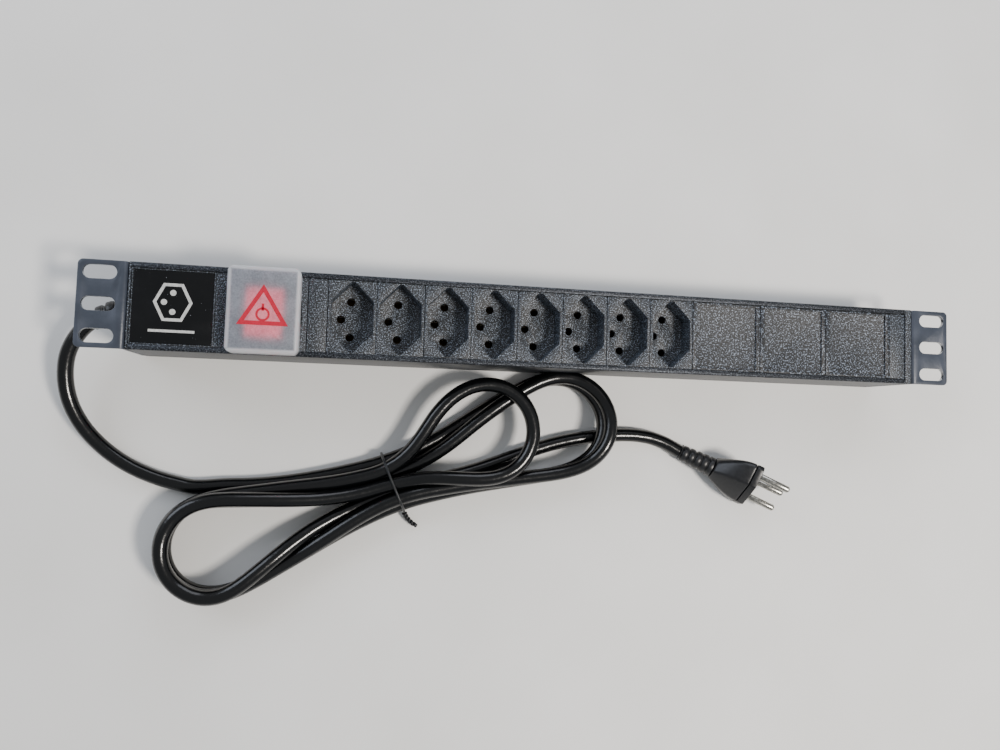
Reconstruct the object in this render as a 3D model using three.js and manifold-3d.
// Rack power strip: a 19-inch one-unit housing with eight recessed three-pin sockets, a guarded lit
// rocker switch, three blank modules, two mounting brackets and a mains lead tied in a hank.
// Millimetres. +X along the strip, +Y up the rack, +Z out of the front, origin in the middle of the back.
import * as THREE from 'three';
import { mergeVertices } from 'three/addons/utils/BufferGeometryUtils.js';
import Module from 'manifold-3d';

const manifoldLibrary = await Module();
manifoldLibrary.setup();

// ---- Driving dimensions ---------------------------------------------------------------------------
const RACK_WIDTH = 482.6; // across both brackets
const PANEL_HEIGHT = 44; // one rack unit
const DEPTH = 44; // back of the housing to its front lips
const GAP = 0.15; // air between neighbouring pieces
const TURNED_GAP = 0.3; // air where a piece is turned or round

const WALL = 1.6; // housing wall
const LIP_THICKNESS = 2; // front lips of the housing
const LIP_WIDTH = 2.8; // how far a lip reaches in from the outer face
const PORT_RADIUS = 3.4; // screw port outside
const PORT_BORE = 2; // screw port bore radius
const LEDGE_THICKNESS = 1.2; // rib that the modules stand on
const LEDGE_WIDTH = 2.8;
const OUTER_CORNER = 0.9; // rounding along the housing's edges

const BRACKET_REACH = 23.9; // bracket tip from the end of the body
const BRACKET_STEEL = 2;
const BRACKET_BEND = 2.6; // outer bend radius
const BRACKET_CORNER = 2.5;
const BRACKET_FOOT = 1.5; // foot of the bracket's leg above the back
const SLOT_LENGTH = 15.8;
const SLOT_WIDTH = 7;
const SLOT_INSET = 10.4; // slot centre from the bracket's tip
const SLOT_PITCH = 15.875; // rack hole pitch

const SCREW_RADIUS = 1.7;
const SCREW_LENGTH = 12;
const SCREW_HEAD_RADIUS = 3.5;
const SCREW_HEAD_HEIGHT = 2.3;
const SCREW_SOCKET_RADIUS = 1.5;
const SCREW_SOCKET_DEPTH = 1.3;

const LEFT_CAP = 1; // thickness of the left end cap's flange
const RIGHT_CAP = 4; // thickness of the right end cap's flange
const SPIGOT_LENGTH = 6; // end cap's spigot inside the housing
const SPIGOT_HALF = 12.4;

const FACE_DROP = 0.6; // module faces below the lips
const MODULE_DEPTH = 14.6; // module face to its underside
const MODULE_WALL = 1.5;
const HOOK_REACH = 1.1; // hooks that catch behind the lips
const HOOK_HEIGHT = 3;
const LABEL_MODULE = 40.4; // module widths along X
const SWITCH_MODULE = 45.5;
const FILLER = 10;
const SOCKET_PITCH = 25.1; // two sockets in each module
const SOCKET_MODULES = 4;
const BLANK_MODULES = 3;
const LABEL_DEPTH = 7; // label module is a shallow tray
const LABEL_WIDTH = 38.4;
const LABEL_HEIGHT = 36.6;
const LABEL_THICKNESS = 0.8;
const PANEL_MARGIN = 2.7; // border round a blank module's sunk panel
const PANEL_SINK = 0.9;

const RECESS_HALF_LENGTH = 18.5; // hexagonal socket recess, along Y
const RECESS_FLAT = 8.4; // half-length of its straight sides
const RECESS_HALF_WIDTH = 10.9;
const RECESS_TIP = 1; // half-width of the blunt tips
const RECESS_DEPTH = 12.5;
const PIN_HOLE_RADIUS = 2.2;
const PIN_SPACING = 9.5; // live and neutral holes above and below the middle
const PIN_LINE = -0.9; // their line beside the cell's middle
const EARTH_OFFSET = -5; // earth hole beside that line
const SEAM_WIDTH = 0.4; // groove between the two cells of a module
const SEAM_DEPTH = 0.5;

const BAR_WIDTH = 5; // brass bars and their spring clips
const BAR_THICKNESS = 0.8;
const CLIP_HEIGHT = 11.6;
const CLIP_GRIP = 2.5; // clip's inner faces from the pin's axis
const TRAY_HALF = 13.2;
const TRAY_WALL = 1.2;

const SWITCH_OFFSET = 1.7; // switch beside the middle of its module
const SWITCH_HALF_X = 11; // rocker switch body in the module's cut-out
const SWITCH_HALF_Y = 14.6;
const SWITCH_DEPTH = 16.5;
const BEZEL_MARGIN = 1.8;
const BEZEL_HEIGHT = 2.4;
const BEZEL_CORNER = 1.5;
const ROCKER_HALF_X = 8.9;
const ROCKER_RADIUS = 12.5; // ends of the rocker about its pivot
const ROCKER_PIVOT_DROP = 1.6; // pivot below the module face
const ROCKER_END_ANGLE = 27; // top edge of each end, seen from the pivot
const ROCKER_LOW_ANGLE = -32; // bottom edge of each end
const ROCKER_DISH = 4.4; // dished middle above the pivot
const ROCKER_TILT = 10; // each way, degrees
const PIVOT_PIN_RADIUS = 1.4;
const TERMINAL_LENGTH = 8;
const TERMINAL_WIDTH = 6.2;
const TERMINAL_THICKNESS = 0.8;
const TERMINAL_X = 5.5; // terminals from the switch's middle
const TERMINAL_Y = 9;
const LAMP_RADIUS = 2.2;
const LAMP_LENGTH = 1.2; // straight part of the lamp

const COVER_WIDTH = 35.6; // push-on guard over the switch
const COVER_HEIGHT = 43.4;
const COVER_RISE = 10.1; // above the lips
const COVER_WALL = 1.5;
const COVER_CORNER = 3.2;
const COVER_BEVEL = 1.2; // rounding of the top edge
const TAB_WIDTH = 10;
const TAB_REACH = 7; // snap tab below the module face

const CORD_RADIUS = 4;
const CORD_EXIT_Z = 22;
const BOOT_LENGTH = 24;
const BOOT_BASE_RADIUS = 6.6;
const BOOT_TIP_RADIUS = 5;
const BOOT_HOLE_RADIUS = 7.4;
const SHEATH_LENGTH = 20; // cord inside the housing
const WIRE_RADIUS = 1.3;

const PLUG_HALF_WIDTH = 17; // hexagonal plug body at its face
const PLUG_FLAT = 8.5;
const PLUG_HALF_THICKNESS = 8.5;
const PLUG_EDGE = 1.5;
const PLUG_LENGTH = 21;
const PLUG_NECK_THICKNESS = 0.72; // share of its size left at the relief
const PLUG_NECK_WIDTH = 0.38;
const PLUG_FACE_LENGTH = 4;
const PLUG_ROLL = -52; // lies over on one bevelled side
const RELIEF_LENGTH = 21;
const RELIEF_RIBS = 5;
const RELIEF_START_RADIUS = 4.8;
const RELIEF_END_RADIUS = 6;
const PIN_SEAT = 1; // depth of the pins' seats in the face plate
const PIN_RADIUS = 2;
const PIN_LENGTH = 19; // in front of the face plate
const PIN_TIP = 1; // chamfer of the tip

// ---- Worked out from the driving dimensions -------------------------------------------------------
const BODY_END = RACK_WIDTH / 2 - BRACKET_REACH;
const HALF_HEIGHT = PANEL_HEIGHT / 2;
const INNER_HALF = HALF_HEIGHT - WALL;
const OPENING_HALF = HALF_HEIGHT - LIP_WIDTH;
const FACE_Z = DEPTH - FACE_DROP;
const UNDERSIDE_Z = FACE_Z - MODULE_DEPTH;
const MODULE_HALF = OPENING_HALF - GAP;
const PORT_Y = INNER_HALF - PORT_RADIUS + 0.2;
const LOW_PORT_Z = WALL + PORT_RADIUS - 0.1;
const HIGH_PORT_Z = UNDERSIDE_Z - LEDGE_THICKNESS - PORT_RADIUS - 1;
const SOCKET_MODULE = 2 * SOCKET_PITCH;
const HOUSING_START = -BODY_END + LEFT_CAP;
const HOUSING_END = BODY_END - RIGHT_CAP;
const LABEL_START = HOUSING_START;
const SWITCH_START = LABEL_START + LABEL_MODULE;
const LEFT_FILLER_START = SWITCH_START + SWITCH_MODULE;
const SOCKETS_START = LEFT_FILLER_START + FILLER;
const BLANKS_START = SOCKETS_START + SOCKET_MODULES * SOCKET_MODULE;
const RIGHT_FILLER_START = HOUSING_END - FILLER;
const BLANK_MODULE = (RIGHT_FILLER_START - BLANKS_START) / BLANK_MODULES;
const SWITCH_X = SWITCH_START + SWITCH_MODULE / 2 + SWITCH_OFFSET;
const PIVOT_Z = FACE_Z - ROCKER_PIVOT_DROP;
const BAR_Z = UNDERSIDE_Z - GAP - CLIP_HEIGHT;
const TRAY_Z = BAR_Z - GAP - TRAY_WALL;
const SWITCH_BOTTOM_Z = FACE_Z - SWITCH_DEPTH;

// ---- Finishes -------------------------------------------------------------------------------------
const finish = (color, roughness, metalness) =>
  new THREE.MeshStandardMaterial({ color, roughness, metalness });
const ANODISED_ALUMINIUM = finish(0x34363a, 0.45, 0.6);
const COATED_STEEL = finish(0x474d5a, 0.5, 0.3);
const ZINC_STEEL = finish(0xaeb2b6, 0.35, 1);
const TEXTURED_PLASTIC = finish(0x232427, 0.6, 0);
const GLOSSY_PLATE = finish(0x101114, 0.12, 0);
const SWITCH_PLASTIC = finish(0x17181a, 0.4, 0);
const RED_LENS = finish(0xe0393f, 0.25, 0);
const FROSTED_PLASTIC = new THREE.MeshStandardMaterial({
  color: 0xb4bcc6, roughness: 0.35, metalness: 0, transparent: true, opacity: 0.75,
});
const NATURAL_NYLON = finish(0xd9d5c8, 0.6, 0);
const BRASS = finish(0xc9a24d, 0.3, 1);
const NICKEL = finish(0xb9b6ad, 0.25, 1);
const PVC = finish(0x131415, 0.4, 0);
const TIE_PLASTIC = finish(0x0f1011, 0.5, 0);

const group = new THREE.Group();

function add(name, geometry, material) {
  const mesh = new THREE.Mesh(geometry, material);
  mesh.name = name;
  group.add(mesh);
  return mesh;
}

// ---- Shape helpers --------------------------------------------------------------------------------
function toSolid(geometry) {
  const bare = geometry.clone();
  bare.deleteAttribute('normal');
  bare.deleteAttribute('uv');
  const merged = mergeVertices(bare, 1e-4);
  return new manifoldLibrary.Manifold(new manifoldLibrary.Mesh({
    numProp: 3,
    vertProperties: new Float32Array(merged.attributes.position.array),
    triVerts: new Uint32Array(merged.index.array),
  }));
}

function toGeometry(solid) {
  const mesh = solid.getMesh();
  const geometry = new THREE.BufferGeometry();
  geometry.setAttribute('position', new THREE.BufferAttribute(mesh.vertProperties, 3));
  geometry.setIndex(new THREE.BufferAttribute(mesh.triVerts, 1));
  geometry.computeVertexNormals();
  return geometry;
}

// joins the first geometry with `joined`, then cuts `removed` out of it
function carve(first, joined, removed) {
  let solid = toSolid(first);
  for (const piece of joined) solid = solid.add(toSolid(piece));
  for (const piece of removed) solid = solid.subtract(toSolid(piece));
  return toGeometry(solid);
}

function block(x0, x1, y0, y1, z0, z1) {
  const box = new THREE.BoxGeometry(x1 - x0, y1 - y0, z1 - z0);
  return box.translate((x0 + x1) / 2, (y0 + y1) / 2, (z0 + z1) / 2);
}

function polygon(points) {
  return new THREE.Shape(points.map(([x, y]) => new THREE.Vector2(x, y)));
}

function roundedRectangle(x0, x1, y0, y1, radius) {
  const shape = new THREE.Shape();
  shape.absarc(x1 - radius, y0 + radius, radius, -Math.PI / 2, 0);
  shape.absarc(x1 - radius, y1 - radius, radius, 0, Math.PI / 2);
  shape.absarc(x0 + radius, y1 - radius, radius, Math.PI / 2, Math.PI);
  shape.absarc(x0 + radius, y0 + radius, radius, Math.PI, 1.5 * Math.PI);
  return shape;
}

// an outline drawn in X and Y, from z0 to z1
function alongZ(shape, z0, z1, curveSegments = 4) {
  const settings = { depth: z1 - z0, bevelEnabled: false, curveSegments };
  return new THREE.ExtrudeGeometry(shape, settings).translate(0, 0, z0);
}

// an outline drawn in Y and Z, from x0 to x1
function alongX(shape, x0, x1, curveSegments = 4) {
  const turn = new THREE.Matrix4().makeBasis(
    new THREE.Vector3(0, 1, 0), new THREE.Vector3(0, 0, 1), new THREE.Vector3(1, 0, 0));
  return alongZ(shape, x0, x1, curveSegments).applyMatrix4(turn);
}

// an outline drawn in X and Z, from y0 to y1
function alongY(shape, y0, y1, curveSegments = 4) {
  const turn = new THREE.Matrix4().makeBasis(
    new THREE.Vector3(1, 0, 0), new THREE.Vector3(0, 0, 1), new THREE.Vector3(0, -1, 0));
  return alongZ(shape, -y1, -y0, curveSegments).applyMatrix4(turn);
}

function rodZ(x, y, radius, z0, z1, sides = 16) {
  const rod = new THREE.CylinderGeometry(radius, radius, z1 - z0, sides);
  return rod.rotateX(Math.PI / 2).translate(x, y, (z0 + z1) / 2);
}

function rodX(y, z, radius, x0, x1, sides = 16) {
  const rod = new THREE.CylinderGeometry(radius, radius, x1 - x0, sides);
  return rod.rotateZ(-Math.PI / 2).translate((x0 + x1) / 2, y, z);
}

// pan head screw with its head's seat at the origin, head towards +Z
function screwGeometry(radius, length, headRadius, headHeight) {
  const profile = [
    [0, -length], [radius * 0.7, -length], [radius, -length + radius * 0.6], [radius, 0],
    [headRadius, 0], [headRadius, headHeight * 0.55], [headRadius * 0.72, headHeight], [0, headHeight],
  ].map(([r, z]) => new THREE.Vector2(r, z));
  const head = new THREE.LatheGeometry(profile, 14).rotateX(Math.PI / 2);
  const socket = rodZ(0, 0, SCREW_SOCKET_RADIUS * headRadius / SCREW_HEAD_RADIUS,
    headHeight - SCREW_SOCKET_DEPTH, headHeight + 1, 6);
  return carve(head, [], [socket]);
}

// ---- Housing: one extruded channel with lips, screw ports and ledges ------------------------------
const ports = [-1, 1].flatMap((side) => [LOW_PORT_Z, HIGH_PORT_Z].map((z) => ({ y: side * PORT_Y, z })));

function housingGeometry() {
  const outside = roundedRectangle(-HALF_HEIGHT, HALF_HEIGHT, 0, DEPTH, OUTER_CORNER);
  const inside = block(HOUSING_START - 1, HOUSING_END + 1, -INNER_HALF, INNER_HALF, WALL,
    DEPTH - LIP_THICKNESS);
  const mouth = block(HOUSING_START - 1, HOUSING_END + 1, -OPENING_HALF, OPENING_HALF,
    DEPTH - LIP_THICKNESS - 1, DEPTH + 1);
  const channel = toSolid(alongX(outside, HOUSING_START, HOUSING_END, 3))
    .subtract(toSolid(inside)).subtract(toSolid(mouth));
  const bosses = ports.map((port) => rodX(port.y, port.z, PORT_RADIUS, HOUSING_START, HOUSING_END));
  const ledges = [-1, 1].map((side) => {
    const reach = [side * (INNER_HALF + 0.2), side * (INNER_HALF - LEDGE_WIDTH)];
    return block(HOUSING_START, HOUSING_END, Math.min(...reach), Math.max(...reach),
      UNDERSIDE_Z - GAP - LEDGE_THICKNESS, UNDERSIDE_Z - GAP);
  });
  const bores = ports.map((port) =>
    rodX(port.y, port.z, PORT_BORE, HOUSING_START - 1, HOUSING_END + 1, 12));
  return carve(toGeometry(channel), [...bosses, ...ledges], bores);
}
add('housing_profile', housingGeometry(), ANODISED_ALUMINIUM);

// ---- End caps: moulded flange with a spigot between the screw ports -------------------------------
function endCapGeometry(flange, bore) {
  const plate = alongX(roundedRectangle(-HALF_HEIGHT, HALF_HEIGHT, 0, DEPTH, OUTER_CORNER),
    -flange, -GAP, 3);
  const spigot = block(-GAP - 0.1, SPIGOT_LENGTH, -SPIGOT_HALF, SPIGOT_HALF, WALL + GAP,
    UNDERSIDE_Z - 2 * GAP);
  const holes = ports.map((port) =>
    rodX(port.y, port.z, SCREW_RADIUS + TURNED_GAP, -flange - 1, 1, 12));
  if (bore) {
    holes.push(rodX(0, CORD_EXIT_Z, CORD_RADIUS + TURNED_GAP, -flange - 1, SPIGOT_LENGTH + 1));
  }
  return carve(plate, [spigot], holes);
}
add('end_cap_left', endCapGeometry(LEFT_CAP, true).translate(HOUSING_START, 0, 0), TEXTURED_PLASTIC);
const rightCap = endCapGeometry(RIGHT_CAP, false).rotateZ(Math.PI).translate(HOUSING_END, 0, 0);
add('end_cap_right', rightCap, TEXTURED_PLASTIC);

// ---- Mounting brackets: folded steel, the same part turned round for the other end ----------------
const LEG_START = BODY_END + TURNED_GAP;
const LEG_END = LEG_START + BRACKET_STEEL;

function bracketGeometry() {
  const tip = RACK_WIDTH / 2;
  const bend = BRACKET_BEND;
  const inner = Math.max(BRACKET_BEND - BRACKET_STEEL, 0.3);
  const profile = new THREE.Shape();
  profile.moveTo(LEG_START, BRACKET_FOOT);
  profile.lineTo(LEG_END, BRACKET_FOOT);
  profile.lineTo(LEG_END, DEPTH - BRACKET_STEEL - inner);
  profile.absarc(LEG_END + inner, DEPTH - BRACKET_STEEL - inner, inner, Math.PI, Math.PI / 2, true);
  profile.lineTo(tip, DEPTH - BRACKET_STEEL);
  profile.lineTo(tip, DEPTH);
  profile.absarc(LEG_START + bend, DEPTH - bend, bend, Math.PI / 2, Math.PI, false);
  const half = HALF_HEIGHT - GAP;
  const folded = toSolid(alongY(profile, -half, half, 5));
  const trim = roundedRectangle(LEG_START - 20, tip, -half, half, BRACKET_CORNER);
  const outline = toSolid(alongZ(trim, -1, DEPTH + 1, 4));
  const rowSlots = [-1, 0, 1].map((row) => {
    const middle = row * SLOT_PITCH;
    const centre = tip - SLOT_INSET;
    const slot = roundedRectangle(centre - SLOT_LENGTH / 2, centre + SLOT_LENGTH / 2,
      middle - SLOT_WIDTH / 2, middle + SLOT_WIDTH / 2, SLOT_WIDTH / 2);
    return alongZ(slot, DEPTH - 2 * BRACKET_STEEL, DEPTH + 1, 4);
  });
  const legHoles = ports.map((port) =>
    rodX(port.y, port.z, SCREW_RADIUS + 2 * TURNED_GAP, LEG_START - 1, LEG_END + 1, 10));
  const cordHole = rodX(0, CORD_EXIT_Z, BOOT_HOLE_RADIUS, LEG_START - 1, LEG_END + 1, 16);
  return carve(toGeometry(folded.intersect(outline)), [], [...rowSlots, ...legHoles, cordHole]);
}
add('bracket_right', bracketGeometry(), COATED_STEEL);
add('bracket_left', bracketGeometry().rotateZ(Math.PI), COATED_STEEL);

for (const [end, turn] of [['right', 0], ['left', Math.PI]]) {
  ports.forEach((port, index) => {
    const screw = screwGeometry(SCREW_RADIUS, SCREW_LENGTH, SCREW_HEAD_RADIUS, SCREW_HEAD_HEIGHT);
    screw.rotateY(Math.PI / 2).translate(LEG_END + GAP, port.y, port.z).rotateZ(turn);
    add(`bracket_screw_${end}_${index + 1}`, screw, ZINC_STEEL);
  });
}

// ---- Modules: moulded shells, open below, hooked behind the lips ----------------------------------
function moduleShell(width, depth) {
  const x0 = GAP;
  const x1 = width - GAP;
  const bottom = FACE_Z - depth;
  const body = block(x0, x1, -MODULE_HALF, MODULE_HALF, bottom, FACE_Z);
  const hookTop = DEPTH - LIP_THICKNESS - GAP;
  const hooks = block(x0, x1, -MODULE_HALF - HOOK_REACH, MODULE_HALF + HOOK_REACH,
    Math.max(hookTop - HOOK_HEIGHT, bottom), hookTop);
  return { body, hooks, bottom };
}

function hollow(width, depth, ceiling) {
  const bottom = FACE_Z - depth;
  return block(MODULE_WALL + GAP, width - MODULE_WALL - GAP, -MODULE_HALF + MODULE_WALL,
    MODULE_HALF - MODULE_WALL, bottom - 1, ceiling);
}

function plainModule(width, depth, extraCuts) {
  const shell = moduleShell(width, depth);
  return carve(shell.body, [shell.hooks], [hollow(width, depth, FACE_Z - 2 * MODULE_WALL), ...extraCuts]);
}

add('filler_left', plainModule(FILLER, MODULE_DEPTH, []).translate(LEFT_FILLER_START, 0, 0),
  TEXTURED_PLASTIC);
add('filler_right', plainModule(FILLER, MODULE_DEPTH, []).translate(RIGHT_FILLER_START, 0, 0),
  TEXTURED_PLASTIC);

for (let index = 0; index < BLANK_MODULES; index += 1) {
  const panel = alongZ(roundedRectangle(PANEL_MARGIN, BLANK_MODULE - PANEL_MARGIN,
    -MODULE_HALF + PANEL_MARGIN / 2, MODULE_HALF - PANEL_MARGIN / 2, 0.5), FACE_Z - PANEL_SINK,
  FACE_Z + 1, 2);
  add(`blank_module_${index + 1}`,
    plainModule(BLANK_MODULE, MODULE_DEPTH, [panel]).translate(BLANKS_START + index * BLANK_MODULE, 0, 0),
    TEXTURED_PLASTIC);
}

// label module: shallow tray with a sunk seat for the glossy plate
const LABEL_X = LABEL_START + LABEL_MODULE / 2;
const labelSeat = block(LABEL_MODULE / 2 - LABEL_WIDTH / 2 - GAP, LABEL_MODULE / 2 + LABEL_WIDTH / 2 + GAP,
  -LABEL_HEIGHT / 2 - GAP, LABEL_HEIGHT / 2 + GAP, FACE_Z - LABEL_THICKNESS, FACE_Z + 1);
add('label_module', plainModule(LABEL_MODULE, LABEL_DEPTH, [labelSeat]).translate(LABEL_START, 0, 0),
  TEXTURED_PLASTIC);
add('label_plate', alongZ(roundedRectangle(LABEL_X - LABEL_WIDTH / 2, LABEL_X + LABEL_WIDTH / 2,
  -LABEL_HEIGHT / 2, LABEL_HEIGHT / 2, 0.6), FACE_Z - LABEL_THICKNESS + GAP, FACE_Z + GAP, 3),
GLOSSY_PLATE);

// ---- Socket modules: two hexagonal recesses each, with three pin holes in the floor ---------------
const RECESS_FLOOR_Z = FACE_Z - RECESS_DEPTH;

function hexagon(halfLength, flat, halfWidth, tip) {
  return polygon([
    [halfWidth, -flat], [halfWidth, flat], [tip, halfLength], [-tip, halfLength],
    [-halfWidth, flat], [-halfWidth, -flat], [-tip, -halfLength], [tip, -halfLength],
  ]);
}

function pinPlaces(cellX) {
  return [
    { use: 'live', x: cellX + PIN_LINE, y: PIN_SPACING },
    { use: 'neutral', x: cellX + PIN_LINE, y: -PIN_SPACING },
    { use: 'earth', x: cellX + PIN_LINE + EARTH_OFFSET, y: 0 },
  ];
}

function socketModuleGeometry() {
  const shell = moduleShell(SOCKET_MODULE, MODULE_DEPTH);
  const cuts = [];
  for (const cell of [0.5, 1.5]) {
    const cellX = cell * SOCKET_PITCH;
    const recess = hexagon(RECESS_HALF_LENGTH, RECESS_FLAT, RECESS_HALF_WIDTH, RECESS_TIP);
    cuts.push(alongZ(recess, RECESS_FLOOR_Z, FACE_Z + 1).translate(cellX, 0, 0));
    for (const pin of pinPlaces(cellX)) {
      cuts.push(rodZ(pin.x, pin.y, PIN_HOLE_RADIUS, UNDERSIDE_Z - 1, RECESS_FLOOR_Z + 1, 14));
    }
  }
  const seam = block(SOCKET_PITCH - SEAM_WIDTH / 2, SOCKET_PITCH + SEAM_WIDTH / 2, -MODULE_HALF - 1,
    MODULE_HALF + 1, FACE_Z - SEAM_DEPTH, FACE_Z + 1);
  return carve(shell.body, [shell.hooks], [...cuts, seam]);
}

for (let index = 0; index < SOCKET_MODULES; index += 1) {
  add(`socket_module_${index + 1}`,
    socketModuleGeometry().translate(SOCKETS_START + index * SOCKET_MODULE, 0, 0), TEXTURED_PLASTIC);
}

// ---- Contacts: three brass bars with a spring clip under every pin hole, in an insulating tray ----
const BAR_START = SOCKETS_START - 3;
const BAR_END = BLANKS_START - 3;
const cells = Array.from({ length: 2 * SOCKET_MODULES }, (unused, index) =>
  SOCKETS_START + (index + 0.5) * SOCKET_PITCH);

function busbarGeometry(use) {
  const places = cells.flatMap((cellX) => pinPlaces(cellX)).filter((pin) => pin.use === use);
  const { y } = places[0];
  const strip = block(BAR_START, BAR_END, y - BAR_WIDTH / 2, y + BAR_WIDTH / 2, BAR_Z,
    BAR_Z + BAR_THICKNESS);
  const prongs = places.flatMap((pin) => [-1, 1].map((side) => {
    const middle = pin.x + side * (CLIP_GRIP + BAR_THICKNESS / 2);
    return block(middle - BAR_THICKNESS / 2, middle + BAR_THICKNESS / 2, y - BAR_WIDTH / 2 + 0.3,
      y + BAR_WIDTH / 2 - 0.3, BAR_Z + BAR_THICKNESS / 2, BAR_Z + CLIP_HEIGHT);
  }));
  return carve(strip, prongs, []);
}
for (const use of ['live', 'neutral', 'earth']) {
  add(`busbar_${use}`, busbarGeometry(use), BRASS);
}

const ribMiddle = PIN_SPACING / 2;
const trayRibs = [-TRAY_HALF + TRAY_WALL / 2, -ribMiddle, ribMiddle, TRAY_HALF - TRAY_WALL / 2];
const trayFloor = block(SOCKETS_START + 1, BLANKS_START - 1, -TRAY_HALF, TRAY_HALF, TRAY_Z,
  TRAY_Z + TRAY_WALL);
add('contact_tray', carve(trayFloor, trayRibs.map((y) =>
  block(SOCKETS_START + 1, BLANKS_START - 1, y - TRAY_WALL / 2, y + TRAY_WALL / 2, TRAY_Z,
    UNDERSIDE_Z - GAP)), []), NATURAL_NYLON);

// ---- Switch module, lit rocker switch and its terminals -------------------------------------------
const tabPlaces = [-1, 1].map((side) => SWITCH_X + side * (COVER_WIDTH / 2 - COVER_WALL / 2));
const switchPlace = SWITCH_X - SWITCH_START;
const switchCuts = [block(switchPlace - SWITCH_HALF_X - GAP, switchPlace + SWITCH_HALF_X + GAP,
  -SWITCH_HALF_Y - GAP, SWITCH_HALF_Y + GAP, UNDERSIDE_Z - 1, FACE_Z + 1)];
for (const place of tabPlaces) {
  const x = place - SWITCH_START;
  switchCuts.push(block(x - COVER_WALL / 2 - TURNED_GAP, x + COVER_WALL / 2 + TURNED_GAP,
    -TAB_WIDTH / 2 - TURNED_GAP, TAB_WIDTH / 2 + TURNED_GAP, UNDERSIDE_Z - 1, FACE_Z + 1));
}
add('switch_module', plainModule(SWITCH_MODULE, MODULE_DEPTH, switchCuts).translate(SWITCH_START, 0, 0),
  TEXTURED_PLASTIC);

const CAVITY_HALF_Y = ROCKER_RADIUS + 2 * TURNED_GAP;
const CAVITY_HALF_X = ROCKER_HALF_X + TURNED_GAP;
const CAVITY_FLOOR_Z = PIVOT_Z - ROCKER_RADIUS * 0.74;
const LAMP_WELL_DEPTH = 4.5;
const LAMP_Z = CAVITY_FLOOR_Z - 1.4;

function switchBodyGeometry() {
  const body = block(-SWITCH_HALF_X, SWITCH_HALF_X, -SWITCH_HALF_Y, SWITCH_HALF_Y, SWITCH_BOTTOM_Z,
    FACE_Z + 1);
  const bezel = alongZ(roundedRectangle(-SWITCH_HALF_X - BEZEL_MARGIN, SWITCH_HALF_X + BEZEL_MARGIN,
    -SWITCH_HALF_Y - BEZEL_MARGIN, SWITCH_HALF_Y + BEZEL_MARGIN, BEZEL_CORNER), FACE_Z + GAP,
  FACE_Z + GAP + BEZEL_HEIGHT, 3);
  const cavity = block(-CAVITY_HALF_X, CAVITY_HALF_X, -CAVITY_HALF_Y, CAVITY_HALF_Y, CAVITY_FLOOR_Z,
    FACE_Z + 10);
  const lampWell = rodZ(0, 0, LAMP_RADIUS + 2 * TURNED_GAP, CAVITY_FLOOR_Z - LAMP_WELL_DEPTH,
    CAVITY_FLOOR_Z + 1);
  const pivotHoles = rodX(0, PIVOT_Z, PIVOT_PIN_RADIUS + TURNED_GAP, -CAVITY_HALF_X - 1.2,
    CAVITY_HALF_X + 1.2, 12);
  return carve(body, [bezel], [cavity, lampWell, pivotHoles]);
}
add('switch_body', switchBodyGeometry().translate(SWITCH_X, 0, 0), SWITCH_PLASTIC);
add('switch_lamp', new THREE.CapsuleGeometry(LAMP_RADIUS, LAMP_LENGTH, 3, 12).rotateX(Math.PI / 2)
  .translate(SWITCH_X, 0, LAMP_Z), RED_LENS);

for (const [index, [sx, sy]] of [[-1, 1], [1, 1], [-1, -1], [1, -1]].entries()) {
  const x = SWITCH_X + sx * TERMINAL_X;
  const y = sy * TERMINAL_Y;
  add(`switch_terminal_${index + 1}`, block(x - TERMINAL_WIDTH / 2, x + TERMINAL_WIDTH / 2,
    y - TERMINAL_THICKNESS / 2, y + TERMINAL_THICKNESS / 2, SWITCH_BOTTOM_Z - GAP - TERMINAL_LENGTH,
    SWITCH_BOTTOM_Z - GAP), BRASS);
}

// rocker: a fan about its pivot with a dished top, on two stub pins; at rest it is pressed on its +Y end
function rockerGeometry() {
  const end = THREE.MathUtils.degToRad(ROCKER_END_ANGLE);
  const low = THREE.MathUtils.degToRad(ROCKER_LOW_ANGLE);
  const profile = new THREE.Shape();
  profile.absarc(0, 0, ROCKER_RADIUS, low, end, false);
  const tipY = ROCKER_RADIUS * Math.cos(end);
  profile.quadraticCurveTo(0, 2 * ROCKER_DISH - ROCKER_RADIUS * Math.sin(end), -tipY,
    ROCKER_RADIUS * Math.sin(end));
  profile.absarc(0, 0, ROCKER_RADIUS, Math.PI - end, Math.PI - low, false);
  const fan = alongX(profile, -ROCKER_HALF_X, ROCKER_HALF_X, 6);
  const pins = rodX(0, 0, PIVOT_PIN_RADIUS, -ROCKER_HALF_X - 1.1, ROCKER_HALF_X + 1.1, 12);
  return carve(fan, [pins], []);
}
const rocker = add('rocker', rockerGeometry(), RED_LENS);
rocker.position.set(SWITCH_X, 0, PIVOT_Z);
rocker.rotation.x = THREE.MathUtils.degToRad(-ROCKER_TILT);

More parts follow.
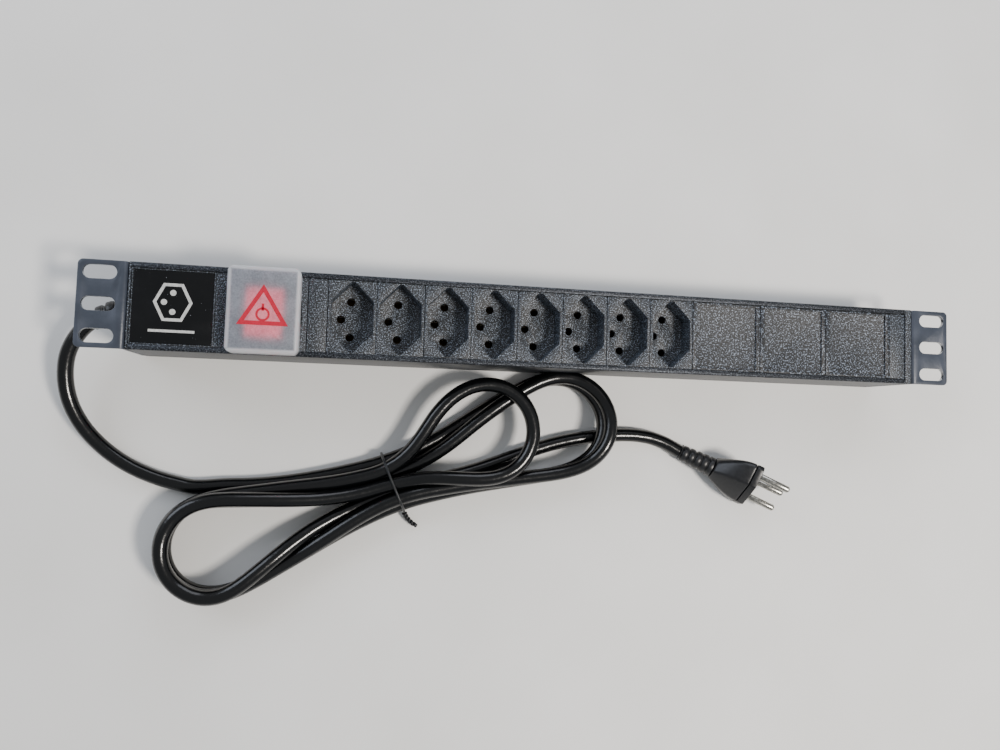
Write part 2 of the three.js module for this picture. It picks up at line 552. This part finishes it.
// ---- Switch cover: push-on frosted cap standing on the lips, held by two snap tabs ----------------
function coverGeometry() {
  const bottom = DEPTH + GAP;
  const top = DEPTH + COVER_RISE;
  const halfX = COVER_WIDTH / 2;
  const halfY = COVER_HEIGHT / 2;
  const skirt = roundedRectangle(-halfX, halfX, -halfY, halfY, COVER_CORNER);
  const settings = {
    depth: top - bottom - COVER_BEVEL, curveSegments: 4, bevelEnabled: true,
    bevelThickness: COVER_BEVEL, bevelSize: COVER_BEVEL, bevelOffset: -COVER_BEVEL, bevelSegments: 2,
  };
  const outer = new THREE.ExtrudeGeometry(skirt, settings).translate(0, 0, bottom);
  const above = alongZ(skirt, bottom, top + 1, 4);
  const inner = alongZ(roundedRectangle(-halfX + COVER_WALL, halfX - COVER_WALL, -halfY + COVER_WALL,
    halfY - COVER_WALL, COVER_CORNER - COVER_WALL), bottom - 5, top - COVER_WALL, 4);
  const cap = toSolid(outer).intersect(toSolid(above)).subtract(toSolid(inner));
  const tabs = [-1, 1].map((side) => {
    const x = side * (halfX - COVER_WALL / 2);
    return block(x - COVER_WALL / 2, x + COVER_WALL / 2, -TAB_WIDTH / 2, TAB_WIDTH / 2,
      FACE_Z - TAB_REACH, bottom + 2);
  });
  return carve(toGeometry(cap), tabs, []);
}
add('switch_cover', coverGeometry().translate(SWITCH_X, 0, 0), FROSTED_PLASTIC);

// ---- Mains lead: moulded boot, inner sheath, clamp, wires -----------------------------------------
// leaves the left end, turns down past the bracket and comes down to the surface
const BOOT_START = -BODY_END - 2 * TURNED_GAP;
const LEAD_POINTS = [
  [BOOT_START, 0, CORD_EXIT_Z], [BOOT_START - 5, 0, CORD_EXIT_Z], [-231, -2, 22],
  [-239.5, -6.5, 21.5], [-246, -13, 20.5], [-251, -23, 19], [-252.5, -35, 16.5],
  [-250.5, -48, 13.5], [-244.5, -60.5, 10.5],
  [-235, -71.5, 7.8], [-223, -80.5, 5.8], [-209, -87, 4.6], [-196.5, -90.5, 4.2], [-188.5, -92, 4.1],
];
const TAIL_POINTS = [
  [43, -58, 4.1], [52, -57.2, 4.1], [62, -57.2, 4.1], [72, -58.6, 4.2], [81, -61.6, 4.5], [89, -65.8, 5],
];

function curveThrough(points) {
  return new THREE.CatmullRomCurve3(points.map((point) => new THREE.Vector3(...point)), false,
    'centripetal');
}

function stretch(curve, from, to, count) {
  const length = curve.getLength();
  const places = Array.from({ length: count + 1 }, (unused, index) =>
    curve.getPointAt((from + (to - from) * index / count) / length));
  return new THREE.CatmullRomCurve3(places, false, 'centripetal');
}

function tube(curve, radius, steps, sides = 10) {
  const section = polygon(Array.from({ length: sides }, (unused, index) => {
    const angle = 2 * Math.PI * index / sides;
    return [radius * Math.cos(angle), radius * Math.sin(angle)];
  }));
  return new THREE.ExtrudeGeometry(section, { steps, bevelEnabled: false, extrudePath: curve });
}

// lays a turned shape, whose axis is +Z from the origin, along a curve
function layAlong(geometry, curve) {
  const length = curve.getLength();
  const place = geometry.attributes.position;
  const point = new THREE.Vector3();
  const up = new THREE.Vector3(0, 0, 1);
  for (let index = 0; index < place.count; index += 1) {
    point.fromBufferAttribute(place, index);
    const along = THREE.MathUtils.clamp(point.z / length, 0, 1);
    const tangent = curve.getTangentAt(along);
    const side = new THREE.Vector3().crossVectors(up, tangent).normalize();
    const over = new THREE.Vector3().crossVectors(tangent, side);
    const moved = curve.getPointAt(along).addScaledVector(side, point.x).addScaledVector(over, point.y);
    place.setXYZ(index, moved.x, moved.y, moved.z);
  }
  return geometry;
}

const leadCurve = curveThrough(LEAD_POINTS);
const BOOT_COLLAR = 3.4;
const BOOT_RIBS = 4;
const BOOT_RIB_PITCH = 4.9;
const BOOT_GROOVE = 0.8; // depth of the grooves between the ribs
const bootProfile = [[0, 0], [BOOT_BASE_RADIUS, 0], [BOOT_BASE_RADIUS, BOOT_COLLAR]];
for (let rib = 0; rib < BOOT_RIBS; rib += 1) {
  const share = rib / (BOOT_RIBS - 1);
  const radius = THREE.MathUtils.lerp(BOOT_BASE_RADIUS - 0.5, BOOT_TIP_RADIUS, share);
  const start = BOOT_COLLAR + 0.5 + rib * BOOT_RIB_PITCH;
  bootProfile.push([radius - BOOT_GROOVE, start], [radius - BOOT_GROOVE, start + 1.2]);
  bootProfile.push([radius, start + 1.7], [radius - 0.15, start + 4.4]);
}
bootProfile.push([BOOT_TIP_RADIUS - 0.5, BOOT_LENGTH], [0, BOOT_LENGTH]);
const bootLathe = new THREE.LatheGeometry(bootProfile.map(([r, z]) => new THREE.Vector2(r, z)), 12);
add('cord_boot', layAlong(bootLathe.rotateX(Math.PI / 2), leadCurve), PVC);
const leadStart = BOOT_LENGTH + 2.5 * TURNED_GAP;
add('cord_lead', tube(stretch(leadCurve, leadStart, leadCurve.getLength(), 24), CORD_RADIUS, 12), PVC);

const SHEATH_START = -BODY_END;
const SHEATH_END = SHEATH_START + SHEATH_LENGTH;
add('cord_sheath_inside', rodX(0, CORD_EXIT_Z, CORD_RADIUS, SHEATH_START, SHEATH_END, 12), PVC);

const CLAMP_X = SHEATH_END - 5;
const CLAMP_HALF = 4;
const CLAMP_HALF_Y = 12;
const CLAMP_BAR = 3;
const CLAMP_SEAT_Z = CORD_EXIT_Z - CORD_RADIUS * 0.4;
const CLAMP_BAR_Z = CORD_EXIT_Z + CORD_RADIUS + GAP;
const CLAMP_SCREW_Y = 8.5;
const CLAMP_SCREW_RADIUS = SCREW_RADIUS * 0.8;
const CLAMP_SCREW_LENGTH = 13;
const CLAMP_HEAD_RADIUS = 2.6;
const CLAMP_HEAD_HEIGHT = 1.9;
const clampBlock = block(CLAMP_X - CLAMP_HALF, CLAMP_X + CLAMP_HALF, -CLAMP_HALF_Y, CLAMP_HALF_Y,
  WALL + GAP, CLAMP_SEAT_Z);
const clampHoles = [-1, 1].map((side) =>
  rodZ(CLAMP_X, side * CLAMP_SCREW_Y, CLAMP_SCREW_RADIUS + TURNED_GAP, CLAMP_SEAT_Z - 8,
    CLAMP_SEAT_Z + 9, 10));
add('cord_clamp_base', carve(clampBlock, [],
  [rodX(0, CORD_EXIT_Z, CORD_RADIUS + TURNED_GAP, CLAMP_X - 6, CLAMP_X + 6), ...clampHoles]), NATURAL_NYLON);
add('cord_clamp_bar', carve(block(CLAMP_X - CLAMP_HALF, CLAMP_X + CLAMP_HALF, -CLAMP_HALF_Y, CLAMP_HALF_Y,
  CLAMP_BAR_Z, CLAMP_BAR_Z + CLAMP_BAR), [], clampHoles), NATURAL_NYLON);
for (const [index, side] of [-1, 1].entries()) {
  const screw = screwGeometry(CLAMP_SCREW_RADIUS, CLAMP_SCREW_LENGTH, CLAMP_HEAD_RADIUS,
    CLAMP_HEAD_HEIGHT);
  add(`clamp_screw_${index + 1}`,
    screw.translate(CLAMP_X, side * CLAMP_SCREW_Y, CLAMP_BAR_Z + CLAMP_BAR + GAP), ZINC_STEEL);
}

// wires from the sheath to the switch, from the switch to the bars, and earth straight to its bar
const WIRE_START = SHEATH_END + 4 * TURNED_GAP;
const TAB_TIP_Z = SWITCH_BOTTOM_Z - GAP - TERMINAL_LENGTH - 2 * TURNED_GAP;
const WIRE_LOW_Z = WALL + WIRE_RADIUS + 2;
const BAR_FEED_Z = BAR_Z + BAR_THICKNESS / 2;
const BAR_FEED_X = BAR_START - TURNED_GAP;

function wire(name, points) {
  add(name, tube(curveThrough(points), WIRE_RADIUS, 16, 8), PVC);
}
for (const [name, side] of [['live', 1], ['neutral', -1]]) {
  wire(`wire_${name}_in`, [
    [WIRE_START, side * 2, CORD_EXIT_Z + 1], [WIRE_START + 8, side * 5, CORD_EXIT_Z - 3],
    [SWITCH_X - 16, side * TERMINAL_Y, WIRE_LOW_Z + 5], [SWITCH_X - 9, side * TERMINAL_Y, WIRE_LOW_Z + 1],
    [SWITCH_X - TERMINAL_X, side * TERMINAL_Y, (WIRE_LOW_Z + TAB_TIP_Z) / 2],
    [SWITCH_X - TERMINAL_X, side * TERMINAL_Y, TAB_TIP_Z],
  ]);
  wire(`wire_${name}_out`, [
    [SWITCH_X + TERMINAL_X, side * TERMINAL_Y, TAB_TIP_Z],
    [SWITCH_X + TERMINAL_X, side * TERMINAL_Y, (WIRE_LOW_Z + TAB_TIP_Z) / 2],
    [SWITCH_X + 10, side * TERMINAL_Y, WIRE_LOW_Z + 1], [SWITCH_X + 18, side * PIN_SPACING, BAR_FEED_Z - 3],
    [BAR_FEED_X - 7, side * PIN_SPACING, BAR_FEED_Z], [BAR_FEED_X, side * PIN_SPACING, BAR_FEED_Z],
  ]);
}
wire('wire_earth', [
  [WIRE_START, 0, CORD_EXIT_Z - 2.6], [WIRE_START + 9, 0, CORD_EXIT_Z - 8],
  [SWITCH_X - 14, 0, WIRE_LOW_Z + 1], [SWITCH_X + 12, 0, WIRE_LOW_Z + 1],
  [BAR_FEED_X - 12, 0, BAR_FEED_Z - 1], [BAR_FEED_X, 0, BAR_FEED_Z],
]);

// ---- Hank of the folded lead, tied at its waist, and the tail to the plug -------------------------
const HANK_RIGHT = new THREE.Vector2(14, -51.5); // middle of the folds at each end
const HANK_LEFT = new THREE.Vector2(-177.5, -124);
const HANK_FOLD = 24; // fold radius of the cord
const HANK_HEIGHT = 26;
const HANK_WAIST = 17.5; // half width where it is tied
const HANK_TIE = 0.5; // place of the tie along the hank, 0 at the left
const HANK_SHOULDER = 0.55; // outline's pull away from each end, as a share of the way to the tie
const HANK_NECK = 0.4; // and its pull away from the tie
const TIE_GROOVE = 2.2; // room under the cords for the tie

const hankAxis = HANK_RIGHT.clone().sub(HANK_LEFT);
const hankSpan = hankAxis.length();
const hankTurn = hankAxis.angle();
const hankEnd = HANK_FOLD + CORD_RADIUS;
const tieAt = hankSpan * HANK_TIE;

function hankGeometry() {
  const shoulders = [-1, 1].map((side) => tieAt * (1 + side * HANK_SHOULDER));
  const necks = [-1, 1].map((side) => tieAt * (1 + side * HANK_NECK));
  const shape = new THREE.Shape();
  shape.absarc(0, 0, hankEnd, Math.PI / 2, 1.5 * Math.PI, false);
  shape.bezierCurveTo(shoulders[0], -hankEnd, necks[0], -HANK_WAIST, tieAt, -HANK_WAIST);
  shape.bezierCurveTo(necks[1], -HANK_WAIST, shoulders[1], -hankEnd, hankSpan, -hankEnd);
  shape.absarc(hankSpan, 0, hankEnd, -Math.PI / 2, Math.PI / 2, false);
  shape.bezierCurveTo(shoulders[1], hankEnd, necks[1], HANK_WAIST, tieAt, HANK_WAIST);
  shape.bezierCurveTo(necks[0], HANK_WAIST, shoulders[0], hankEnd, 0, hankEnd);
  const bundle = alongZ(shape, 0, HANK_HEIGHT, 8);
  const groove = block(tieAt - 2, tieAt + 2, -hankEnd, hankEnd, -1, TIE_GROOVE);
  return carve(bundle, [], [groove]).rotateZ(hankTurn).translate(HANK_LEFT.x, HANK_LEFT.y, 0);
}
add('cord_hank', hankGeometry(), PVC);

// plastic-covered wire tie round the waist
const TIE_THICKNESS = 1.6;
const TIE_LOOSENESS = 0.6; // air between the tie and the cords
const tieInner = HANK_WAIST + TIE_LOOSENESS;
const tieOuter = tieInner + TIE_THICKNESS;
const tieTop = HANK_HEIGHT + TIE_LOOSENESS;
const tieFoot = TIE_GROOVE - 2 - GAP / 2; // just clear of the surface
const tieFrame = block(tieAt - TIE_THICKNESS / 2, tieAt + TIE_THICKNESS / 2, -tieOuter, tieOuter, tieFoot,
  tieTop + TIE_THICKNESS);
const tieHole = block(tieAt - 3, tieAt + 3, -tieInner, tieInner, tieFoot + TIE_THICKNESS, tieTop);
add('wire_tie', carve(tieFrame, [], [tieHole]).rotateZ(hankTurn).translate(HANK_LEFT.x, HANK_LEFT.y, 0),
  TIE_PLASTIC);

const tailCurve = curveThrough(TAIL_POINTS);
add('cord_tail', tube(tailCurve, CORD_RADIUS, 6), PVC);

// ---- Plug: ribbed relief, tapering hexagonal body, face plate and three pins, lying on one side -------
const plug = new THREE.Group();
const plugHeading = new THREE.Vector3(0.885, -0.415, 0.24).normalize();
const plugStart = new THREE.Vector3(...TAIL_POINTS.at(-1)).addScaledVector(plugHeading, 4 * TURNED_GAP);
const plugSide = new THREE.Vector3().crossVectors(new THREE.Vector3(0, 0, 1), plugHeading).normalize();
const plugUp = new THREE.Vector3().crossVectors(plugHeading, plugSide);
// the plug's own frame: +Z out of its face, Y across its width, X through its thickness
plug.matrixAutoUpdate = false;
plug.matrix.makeBasis(plugUp, plugSide, plugHeading).setPosition(plugStart);
plug.matrix.multiply(new THREE.Matrix4().makeRotationZ(THREE.MathUtils.degToRad(PLUG_ROLL)));
group.add(plug);

function addToPlug(name, geometry, material) {
  const mesh = new THREE.Mesh(geometry, material);
  mesh.name = name;
  plug.add(mesh);
}

const reliefProfile = [[0, 0]];
const reliefPitch = RELIEF_LENGTH / RELIEF_RIBS;
const ribLength = 2.6;
const ribDepth = 1;
for (let rib = 0; rib < RELIEF_RIBS; rib += 1) {
  const radius = THREE.MathUtils.lerp(RELIEF_START_RADIUS, RELIEF_END_RADIUS, rib / (RELIEF_RIBS - 1));
  const start = rib * reliefPitch;
  reliefProfile.push([radius, start], [radius, start + ribLength]);
  reliefProfile.push([radius - ribDepth, start + ribLength + 0.3], [radius - ribDepth, start + 3.9]);
}
reliefProfile.push([RELIEF_END_RADIUS - ribDepth, RELIEF_LENGTH], [0, RELIEF_LENGTH]);
addToPlug('plug_strain_relief',
  new THREE.LatheGeometry(reliefProfile.map(([r, z]) => new THREE.Vector2(r, z)), 12).rotateX(Math.PI / 2),
  PVC);

const PLUG_BODY_START = RELIEF_LENGTH + TURNED_GAP;
const PLUG_FACE_START = PLUG_BODY_START + PLUG_LENGTH + TURNED_GAP;
const PLUG_FACE_END = PLUG_FACE_START + PLUG_FACE_LENGTH;
const plugOutline = hexagon(PLUG_HALF_WIDTH, PLUG_FLAT, PLUG_HALF_THICKNESS, PLUG_EDGE);

function plugBodyGeometry() {
  const body = new THREE.ExtrudeGeometry(plugOutline,
    { depth: PLUG_LENGTH, steps: 6, bevelEnabled: false });
  const place = body.attributes.position;
  for (let index = 0; index < place.count; index += 1) {
    const along = place.getZ(index) / PLUG_LENGTH;
    const swell = Math.sin(along * Math.PI / 2);
    place.setX(index, place.getX(index) * THREE.MathUtils.lerp(PLUG_NECK_THICKNESS, 1, swell));
    place.setY(index, place.getY(index) * THREE.MathUtils.lerp(PLUG_NECK_WIDTH, 1, swell));
  }
  return body.translate(0, 0, PLUG_BODY_START);
}
addToPlug('plug_body', plugBodyGeometry(), PVC);

const plugPins = pinPlaces(0);
const faceHoles = plugPins.map((pin) =>
  rodZ(pin.x, pin.y, PIN_RADIUS + TURNED_GAP, PLUG_FACE_START + PIN_SEAT, PLUG_FACE_END + 1, 12));
addToPlug('plug_face', carve(alongZ(plugOutline, PLUG_FACE_START, PLUG_FACE_END), [], faceHoles), PVC);
const pinStart = PLUG_FACE_START + PIN_SEAT + TURNED_GAP;
const pinWhole = PLUG_FACE_END + PIN_LENGTH - pinStart;
const pinProfile = [
  [0, 0], [PIN_RADIUS, 0], [PIN_RADIUS, pinWhole - PIN_TIP], [PIN_RADIUS * 0.6, pinWhole], [0, pinWhole],
].map(([r, z]) => new THREE.Vector2(r, z));
for (const pin of plugPins) {
  const geometry = new THREE.LatheGeometry(pinProfile, 12).rotateX(Math.PI / 2);
  addToPlug(`plug_pin_${pin.use}`, geometry.translate(pin.x, pin.y, pinStart), NICKEL);
}

export default group;
